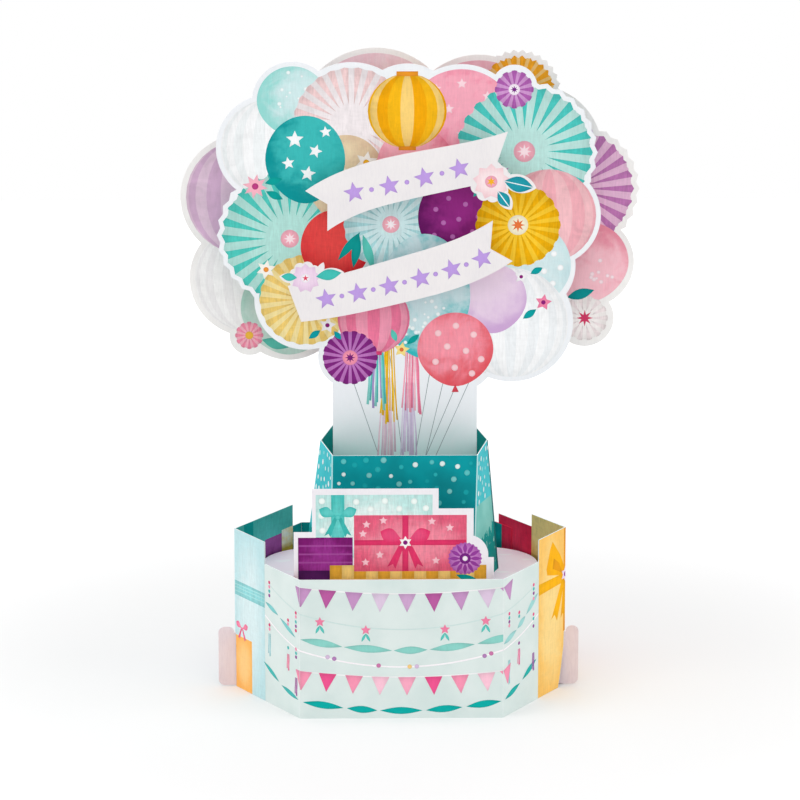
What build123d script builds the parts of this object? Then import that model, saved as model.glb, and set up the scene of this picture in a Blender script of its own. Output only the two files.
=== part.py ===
from build123d import *
from math import cos, pi, sin
import os

os.makedirs("parts", exist_ok=True)

# Pop-up card that stands by itself: a six-sided folded wall holds a deck, a tapered
# open box and two die-cut bunches of balloons, one behind the other, with two banners.
# X runs to the viewer's right, Y away from the viewer, Z up from the table.
# The origin lies on the table under the middle of the whole card.

# Card stock, folds and clearances
card = 0.4
fold_radius = 0.6
gap = 0.3
overrun = 3.0
table_gap = 0.4

# Base wall, one sheet folded into six panels
front_width = 80.0
back_width = 79.6
side_span = 132.2
front_depth = 41.1
back_depth = 38.9
low_height = 57.0
wing_height = 66.0
lap_height = 60.9
glue_lap = 11.0
left_slot_foot = 0.5
right_slot_foot = 5.0
slot_height = 22.6
slot_bow_share = 0.4

# Where the tall wings end, as shares of a side panel from its side fold
front_left_wing_share = 0.472
front_right_wing_share = 0.438
back_left_wing_share = 0.863
back_right_wing_share = 0.475
back_right_lap_share = 0.956

# Centre strap, whose ears stick out at the two side folds
left_ear = 6.4
right_ear = 5.2
ear_rise = 2.2
ear_radius = 2.4

# Deck with rounded ends, bridged to the front and back panels by glue flaps
deck_drop = 8.0
deck_height = low_height - deck_drop
deck_end_gap = 10.9
deck_length = side_span - 2 * deck_end_gap
deck_edge_gap = 9.4
deck_depth = 2 * (back_depth - deck_edge_gap)
deck_corner = 22.2
bridge_inset = 1.8
bridge_width = min(front_width, back_width) - 2 * bridge_inset
flap_height = 8.0

# Tapered box on the deck
box_foot_front = 56.0
box_foot_span = 77.8
box_foot_depth = 59.0
box_rim_front = 57.0
box_rim_span = 66.4
box_rim_depth = 46.0
box_height = 53.3
box_foot_x = 0.5
box_rim_x = 1.6
box_flap = 6.0

# Card of presents in front of the box
present_gap = 7.1
present_depth = front_depth - present_gap
present_width = 78.4
present_height = 42.9
present_foot_gap = 0.7
present_x = -2.9

# Front bunch of balloons and its stem
stem_width = 57.0
stem_x = 1.9
front_bunch_width = 149.4
front_bunch_x = 3.8
front_bunch_z = 190.0
pleat_depth = 1.2
pleats = 30

# Rear bunch of balloons
rear_bunch_width = 180.0
rear_bunch_rise = 3.0
rear_bunch_x = front_bunch_x
rear_bunch_z = front_bunch_z + rear_bunch_rise

# Folded spacers between the bunches
bunch_gap = 10.0
bunch_spacer_width = 26.0
bunch_spacer_height = 40.0
bunch_spacer_reach = 40.0

# Banners, their rosettes and leaves, and the folded spacers behind them
upper_banner_length = 78.8
upper_banner_shift = 1.4
upper_banner_rise = 18.5
upper_banner_x = front_bunch_x - upper_banner_shift
upper_banner_z = front_bunch_z + upper_banner_rise
lower_banner_length = 87.9
lower_banner_shift = 3.9
lower_banner_drop = 18.0
lower_banner_x = front_bunch_x - lower_banner_shift
lower_banner_z = front_bunch_z - lower_banner_drop
banner_gap = 6.0
banner_spacer_width = 11.0
banner_spacer_height = 9.0
rosette_scallops = 9

# Lobes of the front bunch: x, z and radius as shares of the bunch's width
front_lobe_shares = [
    (-0.306, 0.329, 0.105), (-0.152, 0.266, 0.166), (-0.007, 0.299, 0.129),
    (0.134, 0.270, 0.156), (0.272, 0.364, 0.060), (0.364, 0.022, 0.137),
    (0.303, -0.113, 0.133), (0.269, -0.265, 0.162), (0.120, -0.340, 0.115),
    (-0.363, 0.205, 0.143), (-0.274, -0.203, 0.135), (-0.157, -0.358, 0.085),
    (0.0, 0.0, 0.348),
]
front_pleated_shares = [(0.299, 0.191, 0.192), (-0.313, -0.028, 0.193)]

# Lobes of the rear bunch: x, z and radius as shares of the bunch's width
rear_lobe_shares = [
    (-0.074, 0.192, 0.171), (0.150, 0.193, 0.154), (0.268, 0.128, 0.153),
    (0.391, -0.116, 0.102), (0.386, -0.242, 0.064), (-0.359, 0.032, 0.141),
    (-0.350, -0.150, 0.132), (-0.352, -0.280, 0.044), (-0.265, -0.217, 0.118),
    (0.257, -0.161, 0.111), (0.0, -0.017, 0.300),
]
rear_pleated_shares = [(0.236, 0.264, 0.094), (0.356, 0.049, 0.147)]

# Banner outlines, x and z as shares of the banner's length: the top edge, the notch at
# the right end, the bottom edge and the notch at the left end
upper_outline_shares = [
    [(-0.500, -0.046), (-0.357, 0.036), (-0.090, 0.122), (0.500, 0.250)],
    [(0.450, 0.100)],
    [(0.528, 0.020), (0.322, -0.023), (0.008, -0.091), (-0.266, -0.176), (-0.392, -0.249)],
    [(-0.391, -0.113)],
]
lower_outline_shares = [
    [(-0.500, -0.058), (-0.238, 0.003), (0.0, 0.072), (0.237, 0.148), (0.412, 0.237)],
    [(0.402, 0.108)],
    [(0.500, 0.052), (0.307, -0.051), (0.0, -0.140), (-0.228, -0.191), (-0.441, -0.223)],
    [],
]

# Rosettes (x, z, radius) and leaves (foot, tip, half width), as shares of the length
upper_rosette_share = (0.416, -0.004, 0.103)
upper_leaf_shares = [
    ((0.470, 0.010), (0.642, -0.034), 0.046), ((0.450, -0.040), (0.520, -0.143), 0.034),
]
lower_rosette_share = (-0.420, -0.022, 0.075)
lower_leaf_shares = [
    ((-0.380, -0.020), (-0.249, 0.003), 0.031), ((-0.450, -0.030), (-0.537, -0.015), 0.022),
    ((-0.370, -0.020), (-0.340, 0.049), 0.016),
]

# Spacers behind each banner: x and z of the middle, as shares of the banner's length
upper_spacer_shares = [(-0.270, -0.070), (0.250, 0.085)]
lower_spacer_shares = [(-0.270, -0.105), (0.250, 0.045)]

# Outline of the card of presents: x and z as shares of its width and height
present_outline_shares = [
    (-0.500, 0.0), (0.500, 0.0), (0.500, 0.345), (0.471, 0.345), (0.398, 0.550),
    (0.398, 0.810), (0.223, 0.810), (0.223, 1.0), (-0.408, 1.0), (-0.408, 0.590), (-0.500, 0.590),
]
present_bulge_share = (0.452, 0.480)

# Reach of the rear bunch to each side, which centres the whole card on the origin
rear_edges = [x + side * r for x, z, r in rear_lobe_shares + rear_pleated_shares for side in (-1, 1)]
bunch_middle = rear_bunch_x + rear_bunch_width * (max(rear_edges) + min(rear_edges)) / 2
base_x = -bunch_middle
base_y = (front_depth - back_depth) / 2

# Plan of the base wall, from the front left fold round to the left side fold
front_left = (-front_width / 2, -front_depth)
front_right = (front_width / 2, -front_depth)
right_side = (side_span / 2, 0)
back_right = (back_width / 2, back_depth)
back_left = (-back_width / 2, back_depth)
left_side = (-side_span / 2, 0)
wall_plan = [front_left, front_right, right_side, back_right, back_left, left_side]


def level(height):
    """Level plane at a height, centred on the base's middle fold plane."""
    return Plane(origin=(base_x, base_y, height))


def upright(depth):
    """Plane that faces the viewer, at a depth in front of the base's side folds."""
    return Plane(origin=(base_x, base_y - depth, 0), x_dir=(1, 0, 0), z_dir=(0, -1, 0))


def panel_plane(start, end):
    """Plane of a wall panel, with x from its start fold and y upward."""
    along = Vector(end[0] - start[0], end[1] - start[1], 0).normalized()
    origin = (base_x + start[0], base_y + start[1], 0)
    return Plane(origin=origin, x_dir=along, z_dir=along.cross(Vector(0, 0, 1)))


def panel_length(start, end):
    return (Vector(*end) - Vector(*start)).length


def placed(shares, size, x, z):
    """Points given as shares of one size, moved to x and z."""
    return [(x + size * u, z + size * v) for u, v in shares]


def pleated_disc(radius):
    """Disc whose edge zigzags as the edge of a pleated paper fan does."""
    step = pi / pleats
    rims = [radius - pleat_depth * (i % 2) for i in range(2 * pleats)]
    points = [(rim * cos(i * step), rim * sin(i * step)) for i, rim in enumerate(rims)]
    with BuildLine() as edge:
        Polyline(*points, close=True)
    return make_face(edge.edges(), mode=Mode.PRIVATE)


def bunch_outline(lobes, pleated, size, x, z):
    """Outline of a bunch: one disc for each balloon or fan at its edge."""
    for u, v, r in lobes:
        with Locations((x + size * u, z + size * v)):
            Circle(size * r)
    for u, v, r in pleated:
        with Locations((x + size * u, z + size * v)):
            add(pleated_disc(size * r))


def leaf(foot, tip, half_width):
    """Pointed leaf between two equal arcs."""
    foot, tip = Vector(*foot), Vector(*tip)
    across = (tip - foot).normalized().cross(Vector(0, 0, 1)) * half_width
    middle = (foot + tip) / 2
    with BuildLine() as edge:
        ThreePointArc(foot, middle + across, tip)
        ThreePointArc(tip, middle - across, foot)
    make_face(edge.edges())


def rosette(x, z, radius):
    """Round paper rosette with a scalloped edge."""
    scallop = radius * sin(pi / rosette_scallops)
    with Locations((x, z)):
        Circle(radius - scallop)
        with PolarLocations(radius - scallop, rosette_scallops):
            Circle(scallop)


def sprig(rosette_share, leaves, size, x, z):
    """Rosette and leaves that are cut in one piece with a banner."""
    rosette(x + size * rosette_share[0], z + size * rosette_share[1], size * rosette_share[2])
    for foot, tip, half_width in leaves:
        start, end = placed([foot, tip], size, x, z)
        leaf(start, end, size * half_width)


def folded_tube(x, depth, bottom, width, reach, height):
    """Four-sided folded tube, open above and below, that spans a gap of one reach."""
    with BuildPart() as tube:
        with BuildSketch(level(bottom)) as ring:
            with Locations((x, -depth)):
                RectangleRounded(width, reach, fold_radius)
            offset(amount=-card, mode=Mode.SUBTRACT)
        extrude(amount=height)
    return tube.part


# Base wall: a printed sheet folded at six places, with its two ends lapped at the back.
# The top edge steps from low at front and back to tall wings at both side folds.
panel_tops = [
    (left_side, front_left, front_left_wing_share, 1, low_height),
    (front_left, front_right, 0, 1, low_height),
    (right_side, front_right, front_right_wing_share, 1, low_height),
    (right_side, back_right, back_right_wing_share, back_right_lap_share, lap_height),
    (right_side, back_right, back_right_lap_share, 1, low_height),
    (back_right, back_left, 0, 1, low_height),
    (left_side, back_left, back_left_wing_share, 1, low_height),
]
with BuildPart() as base_wall:
    with BuildSketch(level(0)) as wall_ring:
        with BuildLine():
            Polyline(*wall_plan, close=True)
        make_face()
        fillet(wall_ring.vertices(), radius=fold_radius)
        offset(amount=-card, mode=Mode.SUBTRACT)
    extrude(amount=wing_height)
    for start, end, from_share, to_share, top in panel_tops:
        length = panel_length(start, end)
        with BuildSketch(panel_plane(start, end)):
            with Locations((length * from_share, top)):
                Rectangle(length * (to_share - from_share), wing_height, align=(Align.MIN, Align.MIN))
        extrude(amount=overrun, both=True, mode=Mode.SUBTRACT)
    for side, front, foot in (
        (left_side, front_left, left_slot_foot), (right_side, front_right, right_slot_foot),
    ):
        with BuildSketch(level(0)):
            with Locations(side):
                Rectangle(2 * overrun, card + 2 * gap)
        extrude(amount=slot_height, mode=Mode.SUBTRACT)
        with BuildSketch(panel_plane(side, front)):
            with BuildLine():
                Polyline((foot, 0), (-overrun, 0), (-overrun, slot_height), (0, slot_height))
                ThreePointArc((0, slot_height), (foot * slot_bow_share, slot_height / 2), (foot, 0))
            make_face()
        extrude(amount=overrun / 2, both=True, mode=Mode.SUBTRACT)
    lap_end = panel_length(right_side, back_right) - card
    with BuildSketch(panel_plane(right_side, back_right).offset(-2 * card)):
        with Locations((lap_end, 0)):
            Rectangle(glue_lap, low_height, align=(Align.MAX, Align.MIN))
    extrude(amount=card)

# Centre strap: a band from side fold to side fold. Its ears pass through the slots and
# rise a little outside them, which locks the wall open.
band_top = slot_height - gap
ear_top = slot_height + ear_rise
ear_start = side_span / 2 + gap
with BuildPart() as centre_strap:
    with BuildSketch(upright(-card / 2)):
        with Locations((0, table_gap)):
            Rectangle(2 * (ear_start + ear_radius), band_top - table_gap, align=(Align.CENTER, Align.MIN))
        for side, ear in ((-1, left_ear), (1, right_ear)):
            with Locations((side * (ear_start + ear / 2), (ear_top + table_gap) / 2)):
                RectangleRounded(ear, ear_top - table_gap, ear_radius)
    extrude(amount=card)

# Deck: one sheet with two rounded ends. Its middle runs on to the front and back
# panels, where a flap turns down and is glued to each.
bridge_front = front_depth - card
bridge_back = back_depth - card
with BuildPart() as deck:
    with BuildSketch(level(deck_height - card)):
        RectangleRounded(deck_length, deck_depth, deck_corner)
        with Locations((0, (bridge_back - bridge_front) / 2)):
            Rectangle(bridge_width, bridge_front + bridge_back)
        with Locations((stem_x, -card)):
            Rectangle(stem_width + 2 * gap, card + 2 * gap, mode=Mode.SUBTRACT)
    extrude(amount=card)
    with BuildSketch(level(deck_height - flap_height)):
        with Locations((0, -bridge_front)):
            Rectangle(bridge_width, card, align=(Align.CENTER, Align.MIN))
        with Locations((0, bridge_back)):
            Rectangle(bridge_width, card, align=(Align.CENTER, Align.MAX))
    extrude(amount=flap_height)
    outer_folds, inner_folds = (0, -1), (1, -2)
    for rows, radius in ((outer_folds, fold_radius), (inner_folds, fold_radius - card)):
        for row in rows:
            fold = deck.edges().filter_by(Axis.X).group_by(Axis.Y)[row].sort_by(Axis.Z)[-1]
            fillet(fold, radius=radius)


def box_plan(front, span, depth, middle):
    """Six-sided outline of the tapered box at one height."""
    half, reach = front / 2, span / 2
    points = [(-half, -depth / 2), (half, -depth / 2), (reach, 0)]
    points += [(half, depth / 2), (-half, depth / 2), (-reach, 0)]
    return [(middle + x, y) for x, y in points]


# Tapered box: a six-sided printed tube, open above, whose two foot flaps turn inward
# on the deck and are glued there.
foot_plan = box_plan(box_foot_front, box_foot_span, box_foot_depth, box_foot_x)
rim_plan = box_plan(box_rim_front, box_rim_span, box_rim_depth, box_rim_x)
with BuildPart() as tapered_box:
    for inset, mode in ((0, Mode.ADD), (-card, Mode.SUBTRACT)):
        for height, plan in ((deck_height, foot_plan), (deck_height + box_height, rim_plan)):
            with BuildSketch(level(height)) as ring:
                with BuildLine():
                    Polyline(*plan, close=True)
                make_face()
                fillet(ring.vertices(), radius=fold_radius)
                if inset:
                    offset(amount=inset, mode=Mode.REPLACE)
        loft(mode=mode)
    with BuildSketch(level(deck_height)):
        with GridLocations(0, box_foot_depth - box_flap - card, 1, 2):
            with Locations((box_foot_x, 0)):
                Rectangle(box_foot_front - box_flap, box_flap)
    extrude(amount=card)

# Card of presents: a die-cut outline with a foot that turns forward on the deck.
present_points = [(present_x + u * present_width, deck_height + v * present_height)
                  for u, v in present_outline_shares]
present_bulge = (present_x + present_bulge_share[0] * present_width,
                 deck_height + present_bulge_share[1] * present_height)
with BuildPart() as present_card:
    with BuildSketch(upright(present_depth - card)):
        with BuildLine():
            Polyline(*present_points[:4])
            ThreePointArc(present_points[3], present_bulge, present_points[4])
            Polyline(*present_points[4:], present_points[0])
        make_face()
    extrude(amount=card)
    foot_start = card / 2 - present_depth
    foot_end = card + present_foot_gap - front_depth
    with BuildSketch(level(deck_height)):
        with Locations((0, (foot_start + foot_end) / 2)):
            Rectangle(bridge_width - box_flap, foot_start - foot_end)
    extrude(amount=card)

# Front bunch: balloons and fans at the edge and the stem below, cut from one card.
# The stem runs down through the box and the deck to the strap, where it is glued.
with BuildPart() as front_balloon_card:
    with BuildSketch(upright(card / 2)):
        bunch_outline(front_lobe_shares, front_pleated_shares, front_bunch_width,
                      front_bunch_x, front_bunch_z)
        with Locations((stem_x, table_gap)):
            Rectangle(stem_width, front_bunch_z - table_gap, align=(Align.CENTER, Align.MIN))
    extrude(amount=card)

# Rear bunch: a larger card that stands a little way behind the front one.
with BuildPart() as rear_balloon_card:
    with BuildSketch(upright(-card / 2 - bunch_gap)):
        bunch_outline(rear_lobe_shares, rear_pleated_shares, rear_bunch_width,
                      rear_bunch_x, rear_bunch_z)
    extrude(amount=card)

# Banners: swallow-tailed strips in one piece with their rosette and leaves.
banner_depth = card * 3 / 2 + banner_gap


def banner(outline_shares, rosette_share, leaves, size, x, z):
    """Banner whose outline is given as top edge, right notch, bottom edge and left notch."""
    top, right, bottom, left = [placed(shares, size, x, z) for shares in outline_shares]
    with BuildPart() as strip:
        with BuildSketch(upright(banner_depth)):
            with BuildLine() as edge:
                Spline(*top)
                Polyline(top[-1], *right, bottom[0])
                Spline(*bottom)
                Polyline(bottom[-1], *left, top[0])
            make_face(edge.edges())
            sprig(rosette_share, leaves, size, x, z)
        extrude(amount=card)
    return strip.part


upper_banner = banner(upper_outline_shares, upper_rosette_share, upper_leaf_shares,
                      upper_banner_length, upper_banner_x, upper_banner_z)
lower_banner = banner(lower_outline_shares, lower_rosette_share, lower_leaf_shares,
                      lower_banner_length, lower_banner_x, lower_banner_z)

pieces = {
    "base_wall": base_wall.part,
    "centre_strap": centre_strap.part,
    "deck": deck.part,
    "tapered_box": tapered_box.part,
    "present_card": present_card.part,
    "front_balloon_card": front_balloon_card.part,
    "rear_balloon_card": rear_balloon_card.part,
    "upper_banner": upper_banner,
    "lower_banner": lower_banner,
}

# Spacers: folded tubes glued between the two bunches and behind each banner.
bunch_spacer_bottom = front_bunch_z - bunch_spacer_height / 2
for name, side in (("left_bunch_spacer", -1), ("right_bunch_spacer", 1)):
    pieces[name] = folded_tube(front_bunch_x + side * bunch_spacer_reach, card / 2 - bunch_gap / 2,
                               bunch_spacer_bottom, bunch_spacer_width, bunch_gap, bunch_spacer_height)
banner_spacers = [
    ("upper_banner", upper_spacer_shares, upper_banner_length, upper_banner_x, upper_banner_z),
    ("lower_banner", lower_spacer_shares, lower_banner_length, lower_banner_x, lower_banner_z),
]
for banner, shares, size, x, z in banner_spacers:
    for side, (middle_x, middle_z) in zip(("left", "right"), placed(shares, size, x, z)):
        pieces[f"{banner}_{side}_spacer"] = folded_tube(
            middle_x, banner_depth - banner_gap / 2, middle_z - banner_spacer_height / 2,
            banner_spacer_width, banner_gap, banner_spacer_height)

for name, piece in pieces.items():
    piece.label = name
    export_step(piece, f"parts/{name}.step")
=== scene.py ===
import math
import random

import bpy
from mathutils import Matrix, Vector
from mathutils.geometry import delaunay_2d_cdt


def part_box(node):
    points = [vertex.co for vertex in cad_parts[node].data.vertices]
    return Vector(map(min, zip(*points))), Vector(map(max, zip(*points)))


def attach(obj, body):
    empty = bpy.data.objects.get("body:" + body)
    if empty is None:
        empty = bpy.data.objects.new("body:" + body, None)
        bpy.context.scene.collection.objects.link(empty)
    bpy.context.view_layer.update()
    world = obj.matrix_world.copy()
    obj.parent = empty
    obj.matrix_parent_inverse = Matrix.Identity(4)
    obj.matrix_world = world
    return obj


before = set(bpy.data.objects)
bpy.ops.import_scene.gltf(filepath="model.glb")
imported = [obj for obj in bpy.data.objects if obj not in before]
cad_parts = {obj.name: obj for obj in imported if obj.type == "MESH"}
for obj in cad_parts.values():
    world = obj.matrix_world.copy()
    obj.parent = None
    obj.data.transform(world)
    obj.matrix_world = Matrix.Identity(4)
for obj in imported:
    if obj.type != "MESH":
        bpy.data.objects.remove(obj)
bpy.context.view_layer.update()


# Base wall: one sheet of white-cored card, printed on both sides, folded at six places into
# a ring and glued at a lap inside. The print is flat ink: parcels at the two side corners,
# and pennants, paper garlands and bead strings on pale mint between them.
fold_middle = (-4.07, 1.1)
card = 0.4
ink_lift = 0.03
front_left, front_right = (-40, -41.1), (40, -41.1)
right_side, left_side = (66.1, 0), (-66.1, 0)
back_right, back_left = (39.8, 38.9), (-39.8, 38.9)


def tint(red, green, blue):
    """A printed colour in linear light, from its shades on a 0 to 255 chart."""
    shades = [value / 255 for value in (red, green, blue)]
    return tuple(s / 12.92 if s <= 0.04045 else ((s + 0.055) / 1.055) ** 2.4 for s in shades) + (1,)


def operator(operation, reflected=False):
    """One of Python's operators, as the Math node that works it out."""
    def work_out(value, other):
        return value.nodes.math(operation, *((other, value) if reflected else (value, other)))
    return work_out


class Value:
    """One output among a tree's nodes. Arithmetic on it adds the Math nodes it needs."""
    __add__, __radd__ = operator("ADD"), operator("ADD", True)
    __sub__, __rsub__ = operator("SUBTRACT"), operator("SUBTRACT", True)
    __mul__, __rmul__ = operator("MULTIPLY"), operator("MULTIPLY", True)
    __gt__, __lt__ = operator("GREATER_THAN"), operator("LESS_THAN")

    def __init__(self, nodes, socket):
        self.nodes, self.socket = nodes, socket

    def __abs__(self):
        return self.nodes.math("ABSOLUTE", self)


class Nodes:
    """A node tree that is built one call at a time."""

    def __init__(self, tree):
        self.tree = tree

    def add(self, kind, settings=None, sockets=None, out=0):
        node = self.tree.nodes.new(kind)
        for name, setting in (settings or {}).items():
            setattr(node, name, setting)
        for name, value in (sockets or {}).items():
            if isinstance(value, Value):
                self.tree.links.new(value.socket, node.inputs[name])
            else:
                node.inputs[name].default_value = value
        return Value(self, node.outputs[out])

    def math(self, operation, *terms):
        return self.add("ShaderNodeMath", {"operation": operation}, dict(enumerate(terms)))

    def blend(self, factor, first, second):
        """Colour from first to second; a Mix node's colour sockets are its 6th and 7th."""
        return self.add("ShaderNodeMix", {"data_type": "RGBA"}, {0: factor, 6: first, 7: second}, out=2)

    def step(self, value, low, high):
        """0 below one limit and 1 above the other, smooth between."""
        settings = {"interpolation_type": "SMOOTHSTEP"}
        return self.add("ShaderNodeMapRange", settings, {0: value, 1: low, 2: high})


class Finish(Nodes):
    """A card or print finish: its own nodes, the object's coordinates and a fine paper tooth."""

    def __init__(self, name, roughness=0.6, tooth=0.15):
        self.material = bpy.data.materials.new(name)
        self.material.use_nodes = True
        super().__init__(self.material.node_tree)
        self.surface = self.tree.nodes["Principled BSDF"]
        self.surface.inputs["Specular IOR Level"].default_value = 0.1
        self.spot = self.add("ShaderNodeTexCoord", out="Object")
        fibre = self.noise(2600, 3)
        uneven = 0.24
        gloss = self.noise(240, 3) * uneven + (roughness - uneven / 2)
        self.tree.links.new(gloss.socket, self.surface.inputs["Roughness"])
        bump = self.add("ShaderNodeBump", None, {"Strength": tooth, "Distance": 0.0001, "Height": fibre})
        self.tree.links.new(bump.socket, self.surface.inputs["Normal"])

    def noise(self, scale, detail=2, stretch=(1, 1, 1), warp=0.0):
        place = self.add("ShaderNodeMapping", None, {"Vector": self.spot, "Scale": stretch})
        return self.add("ShaderNodeTexNoise", None,
                        {"Vector": place, "Scale": scale, "Detail": detail, "Distortion": warp})

    def axis(self, vector, index):
        return self.add("ShaderNodeSeparateXYZ", None, {0: vector}, out=index)

    def wash(self, pale, deep, scale=70):
        """A printed tone that drifts between two shades, as a wide brush leaves it."""
        return self.blend(self.step(self.noise(scale, 4), 0.3, 0.75), tint(*pale), tint(*deep))

    def paint(self, colour):
        self.tree.links.new(colour.socket, self.surface.inputs["Base Color"])
        return self.material


def watercolour():
    """Ink as laid with a wet brush: each field runs from its ink to its deep shade towards its
    edge, mottled by the wash, hatched by the bristles and darker where pigment pools."""
    print_ = Finish("watercolour_print")
    ink, deep, hand = [print_.add("ShaderNodeAttribute", {"attribute_name": label}, out=kind)
                       for label, kind in (("ink", "Color"), ("deep", "Color"), ("hand", "Vector"))]
    brush, wash, pool = [print_.axis(hand, i) for i in range(3)]
    place = print_.add("ShaderNodeUVMap", {"uv_map": "place"})
    reach = print_.add("ShaderNodeVectorMath", {"operation": "LENGTH"}, {0: place}, out="Value")
    mottle = print_.noise(95, 5, warp=1.2) - 0.5
    fleck = print_.noise(520, 3) - 0.5
    upstroke = print_.noise(640, 3, (1, 1, 0.14), 2.4) - 0.5
    cross = print_.noise(430, 3, (0.2, 0.2, 1), 3.0) - 0.5
    depth = reach * reach * 0.9 + wash * (mottle * 2.4 + fleck * 0.9)
    colour = print_.blend(print_.step(depth, 0.0, 1.1), ink, deep)
    bristle = 1 + brush * (upstroke * 0.75 + cross * 0.3 + fleck * 0.3)
    colour = print_.add("ShaderNodeVectorMath", {"operation": "SCALE"}, {0: colour, "Scale": bristle})
    rim = print_.step(reach, 0.86, 1.0) * pool
    return print_.paint(print_.blend(rim, colour, deep))


watercolour_print = watercolour()


class Field:
    """One area of ink: its outline in millimetres, its two shades, how strong its brush marks,
    wash and pooled rim are, and the middle and reach that the wash runs between."""

    def __init__(self, outline, ink, deep=None, hand=(0.2, 0.2, 0), middle=None, reach=None):
        across, up = [p[0] for p in outline], [p[1] for p in outline]
        self.outline = anticlockwise(outline)
        self.ink, self.deep, self.hand = tint(*ink), tint(*(deep or [0.92 * v for v in ink])), hand
        self.middle = middle or ((max(across) + min(across)) / 2, (max(up) + min(up)) / 2)
        self.reach = reach or ((max(across) - min(across)) / 2, (max(up) - min(up)) / 2)


def anticlockwise(outline):
    turn = sum(a[0] * b[1] - b[0] * a[1] for a, b in zip(outline, outline[1:] + outline[:1]))
    return list(outline) if turn > 0 else list(outline)[::-1]


def row_place(x, y, z):
    """A point in millimetres from the middle of the base's side folds, in the frame's metres."""
    return Vector((x + fold_middle[0], y + fold_middle[1], z)) / 1000


def panel(start, end, depth=0.0, zero=0.0, lift=ink_lift):
    """A printed face of the wall: a rule from (u, v) to a point, and the way that it faces.
    The inner face of a panel is asked for from end to start and the card's depth in."""
    along = (Vector(end) - Vector(start)).normalized()
    out = Vector((along.y, -along.x))
    origin = Vector(start) + out * (depth + lift) + along * zero
    return (lambda u, v: row_place(*(origin + along * u), v)), out.to_3d()


def new_object(name, data):
    made = bpy.data.objects.new(name, data)
    bpy.context.scene.collection.objects.link(made)
    return made


def lay(mesh, surface, name):
    """Puts a flat mesh of (u, v) millimetres on a printed face and makes it a piece."""
    place, out = surface
    for vertex in mesh.vertices:
        vertex.co = place(vertex.co.x, vertex.co.y)
    mesh.update()
    if sum(face.normal.dot(out) for face in mesh.polygons) < 0:
        mesh.flip_normals()
    if not mesh.materials:
        mesh.materials.append(watercolour_print)
    piece = new_object(name, mesh)
    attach(piece, "root")


def ink_faces(mesh, fields):
    """Writes on each face the ink, deep shade and hand of the field that it belongs to."""
    for label, kind in (("ink", "FLOAT_COLOR"), ("deep", "FLOAT_COLOR"), ("hand", "FLOAT_VECTOR")):
        mesh.attributes.new(label, kind, "CORNER")
    ink, deep, hand = [mesh.attributes[label].data for label in ("ink", "deep", "hand")]
    for face, field in zip(mesh.polygons, fields):
        for corner in face.loop_indices:
            ink[corner].color, deep[corner].color = field.ink, field.deep
            hand[corner].vector = field.hand


def place_faces(mesh, fields):
    """Gives each corner its place on its field: 0 in the middle of the wash, 1 at its reach."""
    place = mesh.uv_layers.new(name="place")
    for face, field in zip(mesh.polygons, fields):
        for corner in face.loop_indices:
            spot = mesh.vertices[mesh.loops[corner].vertex_index].co
            place.data[corner].uv = [(spot[i] - field.middle[i]) / field.reach[i] for i in (0, 1)]


def press(name, fields, surface, trims=()):
    """Prints fields on a face, the later over the earlier, and only inside the trims. The ink
    is one flat sheet that is cut wherever two outlines cross, so nothing lies on anything."""
    points, faces = [], []
    for outline in [anticlockwise(trim) for trim in trims] + [field.outline for field in fields]:
        faces.append(list(range(len(points), len(points) + len(outline))))
        points += [Vector(point) for point in outline]
    inside_outlines, same_point = 1, 1e-5
    spots, _, cells, _, _, sources = delaunay_2d_cdt(points, [], faces, inside_outlines, same_point)
    kept, owners = [], []
    for cell, source in zip(cells, sources):
        inks = [i - len(trims) for i in source if i >= len(trims)]
        if inks and (not trims or min(source) < len(trims)):
            kept.append(cell)
            owners.append(fields[max(inks)])
    mesh = bpy.data.meshes.new(name)
    mesh.from_pydata([spot.to_3d() for spot in spots], [], kept)
    place_faces(mesh, owners)
    ink_faces(mesh, owners)
    lay(mesh, surface, name)


def motif_tree(name, own_inputs, lay_out):
    """Geometry Nodes: copies of a cut motif where lay_out puts them, each with the number of
    its tone."""
    tree = bpy.data.node_groups.new(name, "GeometryNodeTree")
    for label, kind in (*own_inputs, ("Motif", "Object"), ("Tones", "Int"), ("Print", "Material")):
        tree.interface.new_socket(label, in_out="INPUT", socket_type="NodeSocket" + kind)
    tree.interface.new_socket("Copies", in_out="OUTPUT", socket_type="NodeSocketGeometry")
    nodes = Nodes(tree)
    given = {s.name: nodes.add("NodeGroupInput", out=s.name) for s in tree.interface.items_tree
             if s.in_out == "INPUT"}
    motif = nodes.add("GeometryNodeObjectInfo", None, {"Object": given["Motif"], "As Instance": True},
                      out="Geometry")
    places, tone = lay_out(nodes, given)
    copies = nodes.add("GeometryNodeInstanceOnPoints", None, {"Instance": motif, **places})
    copies = nodes.add("GeometryNodeStoreNamedAttribute", {"data_type": "FLOAT", "domain": "INSTANCE"},
                       {"Geometry": copies, "Name": "tone", "Value": tone})
    copies = nodes.add("GeometryNodeRealizeInstances", None, {"Geometry": copies})
    copies = nodes.add("GeometryNodeSetMaterial", None, {"Geometry": copies, "Material": given["Print"]})
    result = tree.nodes.new("NodeGroupOutput")
    tree.links.new(copies.socket, result.inputs["Copies"])
    return tree


def along_a_line(nodes, given):
    """Evenly along Line and turned with it as far as Follow says, in turns of the tones."""
    line = nodes.add("GeometryNodeMeshToCurve", None, {"Mesh": given["Line"]})
    line = nodes.add("GeometryNodeResampleCurve", None, {"Curve": line, "Count": given["Count"]})
    turn = nodes.add("FunctionNodeAlignRotationToVector", {"axis": "X", "pivot_axis": "Z"},
                     {"Vector": nodes.add("GeometryNodeInputTangent"), "Factor": given["Follow"]})
    tone = nodes.math("MODULO", nodes.add("GeometryNodeInputIndex"), given["Tones"])
    return {"Points": line, "Rotation": turn}, tone


string_tree = motif_tree("strung_row", (("Line", "Geometry"), ("Count", "Int"), ("Follow", "Float")),
                         along_a_line)


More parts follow.
